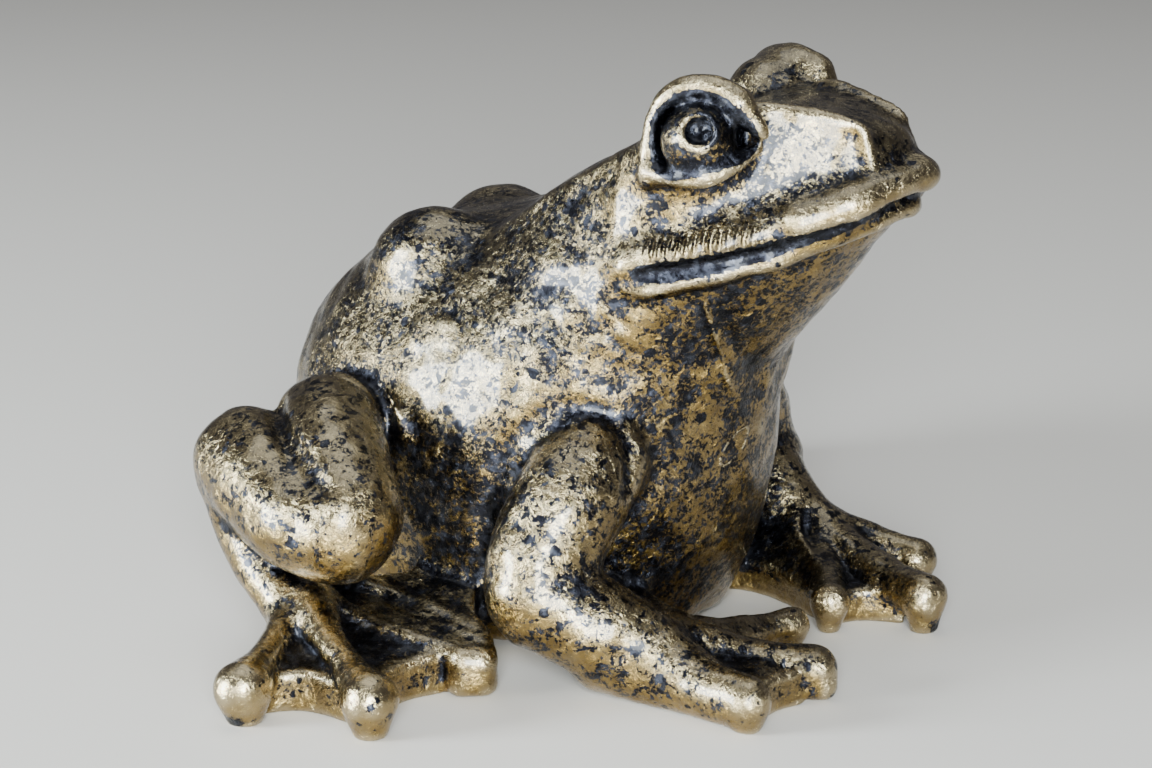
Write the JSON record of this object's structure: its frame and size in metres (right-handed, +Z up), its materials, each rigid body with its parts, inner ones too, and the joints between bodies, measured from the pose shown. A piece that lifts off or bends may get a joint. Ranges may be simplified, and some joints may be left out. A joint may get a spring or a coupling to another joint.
{
  "type": "frog figurine",
  "caption": "Seated frog ornament: one hollow casting in an antique gold finish, closed underneath by an oval plate with felt pads.",
  "frame": {"origin": "on the surface that the frog sits on, under the middle of its overall box", "axes": "+X forwards from rump to snout, +Y to the frog's left, +Z up"},
  "size_m": [0.1588, 0.225, 0.1318],
  "materials": {
    "casting": "cast resin with a metallic antique gold coat, rubbed back, blue-black patina in the pits and creases",
    "plate": "flat black moulded board, satin",
    "felt": "dark green pressed felt"
  },
  "bodies": {
    "root": {"frog_casting": "casting", "base_plate": "plate", "felt_pad_front_left": "felt", "felt_pad_front_right": "felt", "felt_pad_rear_left": "felt", "felt_pad_rear_right": "felt"}
  },
  "joints": []
}
